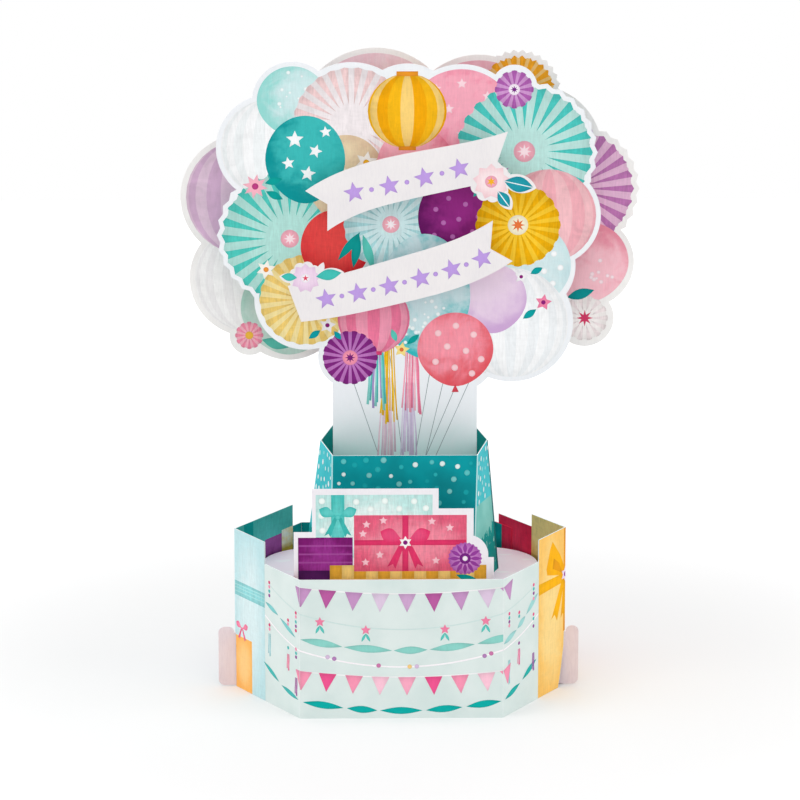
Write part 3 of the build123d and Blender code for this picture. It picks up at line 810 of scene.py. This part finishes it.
def button(x, z, radius, ink, heart):
    """The paper disc that holds a fan's middle."""
    return [Field(disc(x, z, radius, 28), ink, hand=(0.3, 0.3, 0.3)),
            Field(star(x, z, radius * 0.7, radius * 0.3, 8), heart)]


def speckle(x, z, radius, count, size, ink, seed):
    """Flecks of light ink inside a circle."""
    chance = random.Random(seed)
    fields = []
    for _ in range(count):
        a, r = chance.uniform(0, 2 * math.pi), radius * math.sqrt(chance.random())
        spot = (x + r * math.cos(a), z + r * math.sin(a))
        fields.append(Field(disc(*spot, size * chance.uniform(0.45, 1), 10), ink))
    return fields


def inside_border(lobes, fans, border):
    """A bunch's outline within its white border: round lobes, and fans with a notched rim."""
    notch = 1.2
    return [disc(x, z, r - border, 64) for x, z, r in lobes] + [
        star(x, z, r - border, r - border - notch, 30, 0) for x, z, r in fans]


front_lobes = [(-41.9, 239.2, 15.7), (-18.9, 229.7, 24.8), (2.8, 234.7, 19.3), (23.8, 230.3, 23.3),
               (44.4, 244.4, 9.0), (58.2, 193.3, 20.5), (49.1, 173.1, 19.9), (44.0, 150.4, 24.2),
               (21.7, 139.2, 17.2), (-50.4, 220.6, 21.4), (-37.1, 159.7, 20.2), (-19.7, 136.5, 12.7),
               (3.8, 190, 52)]
front_fans = [(48.5, 218.5, 28.7), (-43.0, 185.8, 28.8)]
behind_all, far = disc(3.8, 190, 52), 400
border = 1.9
trims = inside_border(front_lobes, front_fans, border) + [rectangle(-26.3, 2, 30.1, 170)]

white_ink, gold, rose = (247, 249, 250), (247, 182, 14), (238, 168, 184)
fields = [Field(behind_all, (214, 232, 232), (196, 222, 224), (0.1, 0.4, 0)),
          block(-26.3, 2, 30.1, 150, (240, 243, 247), (204, 238, 234), (0.05, 0.1, 0), (1.9, 128), (far, 36))]
for start, end in (((-19.7, 130), (-4.4, 84)), ((-4, 137), (2.4, 84)), ((12, 131.6), (4, 84)),
                   ((21.8, 124), (5.4, 84)), ((27.2, 126), (9, 84)), ((17, 126), (7.4, 84))):
    fields.append(Field(ribbon([start, end], 0.26), (150, 160, 166)))
for x, top, bottom, wide, inks, seed in (
        (-5.2, 128, 92, 7.4, [(232, 206, 218), (222, 192, 210)], 3),
        (3.4, 126, 93, 7.2, [(220, 204, 228), (210, 192, 222)], 4),
        (-4.4, 142, 109, 7.2, [(246, 200, 40), (232, 176, 10)], 5),
        (-9.2, 146, 114.6, 8.6, [(136, 212, 206), (82, 190, 186), (168, 150, 204)], 6),
        (4.6, 142, 112.4, 8.2, [(246, 160, 184), (238, 124, 156), (248, 186, 202)], 7)):
    fields += tassel(x, top, bottom, wide, inks, 8, seed)

# The outer ring follows the die-cut edge, lobe by lobe from the left.
fields += lantern(-50.4, 220.6, 19.5, [(247, 248, 249), (239, 243, 244)], 13, shade=0.92)
fields += balloon(-41.9, 239.2, 13.8, (206, 231, 232), (146, 214, 208), 1.0, (0.35, 0.1))
fields += speckle(-42, 243, 8, 12, 0.9, (236, 246, 246), 5)
fields += fan(-18.9, 229.7, 22.9, (240, 232, 234), (238, 206, 206), 26, 0.35, scallop=0.02)
fields += balloon(23.8, 230.3, 21.4, (243, 168, 186), (228, 112, 142), 1.0, (-0.1, 0.35))
stars = [(14, 244), (24, 246), (34, 241), (19, 236), (30, 233), (39, 231), (24, 226), (35, 223)]
fields += dabs(star(0, 0, 2.2, 1.0), stars, [(250, 214, 222)], (0.1, 0.3, 0))
fields += fan(48.5, 219, 26.8, (186, 226, 220), (74, 196, 188), 24, 0.34, 0.5)
fields += button(48.5, 219, 4.2, rose, (250, 224, 230))
fields += fan(44.4, 243.6, 7.6, (206, 150, 206), (172, 92, 172), 12, 0.2, scallop=0.08)
fields += button(44.4, 243.6, 2.2, (248, 236, 248), (120, 36, 132))
fields += lantern(58.2, 193.3, 18.6, [(243, 176, 186), (246, 192, 198)], 9)
fields += balloon(49.1, 173.1, 18.0, (212, 232, 234), (194, 222, 226), 1.0, (0, 0))
dots = [(60, 166), (63, 172.4), (56.6, 171), (60.4, 178), (57, 162)]
fields += dabs(disc(0, 0, 1.2, 14), dots, [white_ink])
fields += lantern(43.6, 149.8, 22.6, [(248, 249, 250), (240, 243, 245)], 15, shade=0.93)
fields += fan(-43.2, 184.4, 27.4, (176, 222, 214), (76, 196, 184), 24, 0.34, 0.5)
fields += button(-43.2, 184.4, 3.6, rose, (250, 224, 230))
fields += fan(-37.1, 159.7, 18.3, (250, 230, 164), (240, 206, 116), 22, 0.25, scallop=0.03)
fields += button(-37.1, 159.7, 3.2, (252, 246, 226), (236, 160, 50))

# The bunch's middle, from the back to the front.
fields += balloon(-21, 208, 15.5, (232, 212, 176), (208, 176, 146), 1.15, (-0.3, 0.2))
fields += speckle(-26, 206, 8, 12, 0.8, (248, 238, 214), 13)
fields += balloon(6, 214, 15, (244, 176, 190), (224, 118, 142))
fields += balloon(-37, 216, 15.6, (60, 186, 184), (0, 146, 150), 1.12, (0.25, 0.25), (0.3, 0.8, 0.6))
fields += [Field(star(x, z, size, size * 0.45, 5, turn), white_ink) for x, z, size, turn in
           ((-41, 224, 3.6, 90), (-33, 219.4, 2.8, 70), (-43.6, 214.6, 2.6, 100), (-36, 210.4, 3.2, 80),
            (-29, 227, 2.4, 96))]
gold_inks, cap = [(248, 186, 20), (251, 212, 122), (244, 170, 0)], (236, 150, 40)
fields += lantern(2.8, 235.2, 15.4, gold_inks, 9, 0.96, (0.4, 0.6, 0.4))
fields += [block(-1.4, 249, 7, 250.9, cap), block(-0.6, 219.6, 6.2, 221.2, cap)]
fields += balloon(-25.4, 181, 13.6, (226, 72, 70), (202, 30, 44), 1.1, (-0.2, 0.2), (0.6, 0.5, 0.3))
fields += fan(-3.6, 190, 18.6, (206, 232, 234), (166, 214, 218), 22, 0.28, scallop=0.03)
fields += button(-3.6, 190, 3.4, (246, 176, 190), (252, 240, 244))
fields += balloon(21.4, 192.6, 14.4, (150, 42, 132), (98, 14, 92), 1.2, (0.2, 0.3), (0.3, 0.6, 0.4))
dots = [(14, 196), (19, 200.4), (25.6, 198), (30.6, 193), (17, 190.6), (23, 192), (28.4, 187), (20.6, 185),
        (13.4, 185.6)]
fields += dabs(disc(0, 0, 1.0, 14), dots, [(190, 110, 184)])
fields += fan(46.2, 189.6, 16.8, (252, 204, 50), (238, 176, 0), 20, 0.22, 0.6, scallop=0.04, swing=0.2)
fields += button(46.2, 189.6, 4.0, (252, 244, 214), (236, 120, 60))
fields += balloon(36.4, 160, 13.4, (236, 214, 234), (204, 166, 212), 1.05, (-0.1, 0.3), (0.1, 0.4, 0.7))
fields += balloon(9.6, 161, 18, (206, 228, 232), (50, 184, 188), 1.4, (0.05, 0.2), (0.2, 0.8, 0.8))
fields += speckle(9, 148, 12, 26, 0.9, (240, 247, 248), 21)
fields += lantern(-10.4, 152, 14.2, [(242, 124, 160), (247, 158, 184)], 9, 1.0, (0.5, 0.5, 0.3))
fields += [block(-13.6, z, -7.2, z + 1.6, (214, 62, 116)) for z in (137.2, 165.2)]
fields += fan(-19.7, 136.2, 11, (190, 116, 190), (128, 36, 126), 18, 0.25, 0.6, scallop=0.05)
fields += button(-19.7, 136.2, 3.0, (246, 150, 176), (120, 30, 118))
fields += balloon(21.8, 139.4, 15, (246, 150, 166), (226, 86, 96), 1.0, (-0.2, 0.25), (0.4, 0.6, 0.5))
dots = [(15, 146), (22, 149), (29, 145.4), (18.6, 140.6), (26, 138.8), (32, 135.4), (14, 134.4), (21.6, 132),
        (28.4, 129.6)]
fields += dabs(disc(0, 0, 1.3, 16), dots, [(252, 206, 212)])
knot = [(21.8, 125.2), (23.24, 122), (20.36, 122)]
fields.append(Field(knot, (214, 70, 84)))

# Paper stars and sprigs fill the gaps between the balloons.
wine, leaf_green, leaf_pale = (140, 30, 120), (0, 158, 152), (90, 200, 186)
leaf_teal, leaf_blue, leaf_cool = (0, 152, 148), (0, 158, 160), (0, 158, 168)
for x, z, size, points, ink, heart in (
        (-56.6, 205.4, 5.0, 8, (248, 180, 196), (190, 60, 130)),
        (-13.2, 214.8, 4.6, 6, (250, 246, 240), (240, 180, 40)),
        (-52.6, 172, 4.0, 6, (252, 248, 240), (240, 150, 60)),
        (38, 209.4, 5.4, 8, (186, 106, 184), (250, 236, 250)),
        (-28.6, 149.4, 3.4, 5, (246, 244, 248), wine), (0.6, 139.4, 3.2, 5, (250, 226, 140), (226, 120, 60)),
        (56.4, 158.4, 3.4, 5, (240, 130, 166), wine), (47.6, 168.8, 2.8, 5, (246, 246, 248), wine)):
    fields.append(Field(star(x, z, size, size * 0.52, points, 80), ink))
    fields.append(Field(disc(x, z, size * 0.26, 16), heart))
for wide, ink, *ends in (
        (3.0, leaf_green, ((-52.4, 203.4), (-45.8, 200.2)), ((-52.8, 206.6), (-46, 208.4))),
        (3.6, leaf_teal, ((-16, 186), (-18.4, 172.6))), (3.6, leaf_pale, ((-14.6, 186), (-10.4, 171.8))),
        (3.2, leaf_teal, ((-15.6, 187), (-24.4, 175.6))), (2.8, (60, 190, 184), ((33.4, 206.6), (28.6, 201))),
        (2.6, leaf_blue, ((51.2, 170), (56, 172.4))), (2.8, leaf_blue, ((53.6, 155.6), (48.4, 151.8))),
        (2.6, leaf_cool, ((-31.4, 147.4), (-36, 144))), (2.2, leaf_cool, ((-26, 147), (-23.2, 143.6))),
        (2.4, leaf_green, ((2.8, 141.6), (7.6, 145.6))), (2.4, leaf_pale, ((-1.4, 142.6), (-3.4, 147.8)))):
    fields += leaves(wide, ink, *ends)

press("front_bunch_print", fields, upright("front_balloon_card"), trims)


def plain_back(lobes, fans, border, inks, fan_inks, pleats, core):
    """A bunch's back: round balloons and fans that fill the same outline, as plain washes."""
    fields = []
    for (x, z, r), ink in zip(lobes, inks):
        fields += balloon(x, z, r - border, ink, [0.9 * v for v in ink])
    for (x, z, r), (sheet, rib) in zip(fans, fan_inks):
        fields += fan(x, z, r - border, sheet, rib, pleats, core)
    return fields


# The back of the front bunch, from its middle outwards.
aqua_fan = ((186, 226, 220), (120, 208, 202))
backs = [(214, 232, 232), (206, 231, 232), (234, 228, 232), (250, 214, 136), (243, 172, 190), (214, 190, 222),
         (243, 178, 186), (212, 232, 234), (238, 241, 243), (244, 168, 176), (240, 242, 243), (240, 218, 150),
         (196, 150, 200)]
fields = [block(-26.2, 2, 30, 170, (224, 231, 236), (190, 224, 222), (0.05, 0.1, 0), (1.9, 170), (far, 70))]
from_the_back = front_lobes[-1:] + front_lobes[:-1]
fields += plain_back(from_the_back, front_fans, border, backs, [aqua_fan, aqua_fan], 30, 0.3)
fields += fan(3.8, 205, 30, (250, 224, 160), (246, 196, 80), 30, 0.25) + button(3.8, 205, 5, white_ink, gold)
press("front_bunch_back_print", fields, upright("front_balloon_card", 1), trims)
dress("front_balloon_card", white_stock("front_bunch_stock", (242, 244, 247), (233, 237, 241)))


# Rear bunch: a larger, paler card of balloons and fans a finger's width behind the front one,
# held off it by two folded spacers.
rear_lobes = [(-9.5, 227.6, 30.8), (30.8, 227.7, 27.7), (52.0, 216, 27.5), (74.2, 172.1, 18.4),
              (73.3, 149.4, 11.5), (-60.8, 198.8, 25.4), (-59.2, 166, 23.8), (-59.6, 142.6, 7.9),
              (-43.9, 153.9, 21.2), (50.1, 164, 20), (3.8, 190, 54)]
rear_fans = [(46.3, 240.5, 16.9), (67.9, 201.8, 26.5)]
border = 2.2
trims = inside_border(rear_lobes, rear_fans, border)
fields = [Field(behind_all, (236, 236, 238), hand=(0.1, 0.3, 0))]
fields += lantern(-59.2, 166, 21.6, [(251, 250, 249), (244, 242, 242)], 15, shade=0.94)
fields += balloon(-9.5, 227.6, 28.6, (243, 222, 228), (236, 198, 208), 1.0, (0.2, -0.1))
fields += balloon(30.8, 227.7, 25.5, (244, 214, 220), (236, 178, 192), 1.0, (0.1, -0.2))
fields += fan(46.3, 240.5, 14.7, (250, 206, 130), (244, 168, 40), 22, 0.2, 0.66, swing=0.3)
fields += balloon(52, 216, 25.3, (222, 214, 232), (206, 190, 220), 1.0, (0, 0))
fields += fan(67.9, 201.8, 24.3, (238, 192, 222), (194, 122, 182), 24, 0.25, 0.5)
fields += lantern(-60.8, 198.8, 23.2, [(236, 208, 228), (222, 186, 216)], 11, 1.0, (0.2, 0.6, 0.8))
fields += balloon(74.2, 172.1, 16.2, (250, 196, 206), (234, 142, 162), 1.0, (0.1, -0.35), (0.2, 0.7, 0.4))
fields += speckle(80, 168, 6, 9, 0.9, (252, 226, 232), 33)
fields += balloon(-43.9, 153.9, 19, (206, 226, 218), (170, 210, 196), 1.0, (0, 0))
fields += fan(-59.6, 142.8, 5.6, (246, 180, 194), (238, 138, 164), 12, 0.2, scallop=0.08)
fields.append(Field(disc(-59.6, 142.8, 1.6), (246, 190, 70)))
fields += leaves(4.4, (90, 190, 174), ((-54.6, 141), (-44, 137.8)))
fields += fan(73.3, 149.4, 9.2, (252, 246, 244), (242, 230, 230), 14, 0.3, scallop=0.06)
fields.append(Field(star(73.3, 149.4, 3.4, 1.4, 8), (214, 60, 104)))
fields += leaves(4.2, (0, 148, 150), ((66, 157.6), (77, 160.8)))
press("rear_bunch_print", fields, upright("rear_balloon_card"), trims)

fields = [Field(behind_all, (238, 236, 240), hand=(0.1, 0.3, 0))]
backs = [(238, 208, 216), (242, 200, 208), (222, 226, 234), (246, 196, 206), (240, 232, 232), (220, 190, 218),
         (236, 238, 240), (244, 170, 186), (206, 226, 218), (214, 226, 234)]
fan_inks = (((250, 206, 130), (244, 168, 40)), ((208, 150, 204), (178, 102, 172)))
fields += plain_back(rear_lobes, rear_fans, border, backs, fan_inks, 24, 0.25)
fields += fan(3.8, 190, 40, (196, 226, 222), (150, 208, 202), 36, 0.2) + button(3.8, 190, 6, rose, white_ink)
press("rear_bunch_back_print", fields, upright("rear_balloon_card", 1), trims)
dress("rear_balloon_card", white_stock("rear_bunch_stock", (248, 246, 244), (238, 236, 234)))


# Spacers: six folded tubes of plain white card, two between the bunches and two behind each
# banner, glued on by their flat sides.
spacer_stock = white_stock("spacer_stock", (240, 240, 242), (230, 230, 234), 0.65)
for part in ("left_bunch", "right_bunch", "upper_banner_left", "upper_banner_right", "lower_banner_left",
             "lower_banner_right"):
    dress(part + "_spacer", spacer_stock)


# Banners: two swallow-tailed strips of thicker white card in front of the bunch, each cut in
# one piece with a paper rosette and leaves, with a row of stars and dots printed along it.
banner_stock = white_stock("banner_stock", (240, 236, 236), (232, 228, 230))
lilac_ink = (190, 156, 226)
small_star = star(0, 0, 4.3, 1.9)
small_dot = disc(0, 0, 0.95, 16)
for name, stars_on, dots_on, count in (
        ("upper_banner", [(-18, 204.3), (-7, 206.2), (4, 208.7), (14, 211.3), (23, 213.6)],
         [(-11.2, 205.4), (4, 208.6), (16.2, 211.8)], 4),
        ("lower_banner", [(-29, 161.6), (-14, 164.5), (2, 168.2), (18, 172.6), (32, 177.8)],
         [(-22.9, 162.8), (-8, 165.9), (10, 170.3), (25.8, 175.3)], 6)):
    face = upright(name)
    string_up(name + "_stars", small_star, stars_on, count, [lilac_ink], face, 1.0)
    string_up(name + "_dots", small_dot, dots_on, count - 1, [lilac_ink], face)
    dress(name, banner_stock)

fields = [Field(star(35.4, 208.4, 7.2, 5.6, 9), (248, 228, 230), (240, 200, 206), (0.2, 0.3, 0)),
          Field(disc(35.4, 208.4, 2.4), (244, 170, 190)),
          Field(star(35.4, 208.4, 1.9, 0.8, 6), (246, 180, 40))]
for start, end, wide in (((40.4, 208.6), (51.8, 206), 6.2), ((38, 204.6), (42.6, 198.2), 4.6)):
    fields.append(Field(petal(start, end, wide), (30, 152, 168), (20, 136, 152), (0.3, 0.3, 0)))
    fields.append(Field(ribbon([start, end], 0.4), (232, 246, 248)))
press("upper_rosette_print", fields, upright("upper_banner"))
fields = [Field(star(-37.1, 170, 5.9, 4.6, 9), (238, 214, 234), (222, 190, 220), (0.3, 0.3, 0)),
          Field(disc(-37.1, 170, 1.8), (248, 240, 248)), Field(star(-37.1, 170, 1.4, 0.5), (220, 60, 90))]
fields += leaves(4.4, (66, 192, 182), ((-33, 170.6), (-23, 172.2)))
fields += leaves(3.2, (66, 192, 182), ((-40.4, 170.2), (-46.6, 170.8)))
press("lower_rosette_print", fields, upright("lower_banner"))


# Studio: a plain white floor, a broad soft lamp above and in front with weaker ones beside and
# behind, and a pale room.
floor = flat_object("floor", rectangle(-0.9, -0.9, 0.9, 0.9), [], [range(4)])
floor_paint = bpy.data.materials.new("white_floor")
floor_paint.use_nodes = True
ground = Nodes(floor_paint.node_tree)
ground.tree.nodes.remove(ground.tree.nodes["Principled BSDF"])
paper = ground.add("ShaderNodeBsdfDiffuse", None, {"Color": (0.82, 0.82, 0.82, 1)})
seen = ground.add("ShaderNodeLightPath", out="Is Camera Ray")
away = ground.add("ShaderNodeVectorMath", {"operation": "LENGTH"},
                  {0: ground.add("ShaderNodeTexCoord", out="Object")}, out="Value")
near_glow, far_glow = 0.04, 0.34
glow = ground.add("ShaderNodeEmission", None, {
    "Color": (1, 1, 1, 1), "Strength": seen * (near_glow + ground.step(away, 0.13, 0.45) * far_glow)})
both = ground.add("ShaderNodeAddShader", None, {0: paper, 1: glow})
ground.tree.links.new(both.socket, ground.tree.nodes["Material Output"].inputs["Surface"])
floor.data.materials.append(floor_paint)

room = bpy.data.worlds.new("room")
room.use_nodes = True
bpy.context.scene.world = room
air = Nodes(room.node_tree)
seen, mirrored = [air.add("ShaderNodeLightPath", out=name) for name in ("Is Camera Ray", "Is Glossy Ray")]
background = room.node_tree.nodes["Background"]
background.inputs["Color"].default_value = (1, 1, 1, 1)
room_light, white = 0.68, 1
strength = air.math("MAXIMUM", seen, mirrored) * (white - room_light) + room_light
room.node_tree.links.new(strength.socket, background.inputs["Strength"])

on_base = (0, 0, 0.12)
for name, spot, aim, wide, power in (("overhead", (-0.1, -0.3, 1.5), (0, 0, 0.1), 1.6, 10.5),
                                     ("left_fill", (-1.5, -0.6, 0.7), on_base, 1.2, 6),
                                     ("right_fill", (1.5, -0.6, 0.7), on_base, 1.2, 6),
                                     ("back_fill", (0.3, 1.6, 0.8), on_base, 1.2, 2.6)):
    lamp = bpy.data.lights.new(name, "AREA")
    lamp.size, lamp.energy = wide, power
    holder = new_object(name, lamp)
    holder.location = spot
    holder.rotation_euler = (Vector(aim) - Vector(spot)).to_track_quat("-Z", "Y").to_euler()

bpy.context.scene.view_settings.view_transform = "Standard"
down, aside = math.radians(14.98), math.radians(0.81)
sight = Vector((math.cos(down) * math.sin(aside), math.cos(down) * math.cos(aside), -math.sin(down)))
view = bpy.data.cameras.new("view")
view.sensor_width, view.lens = 36, 209.27
camera = new_object("camera", view)
camera.location = (-0.02922, -1.7763, 0.5943)
camera.rotation_euler = sight.to_track_quat("-Z", "Y").to_euler()
bpy.context.scene.camera = camera
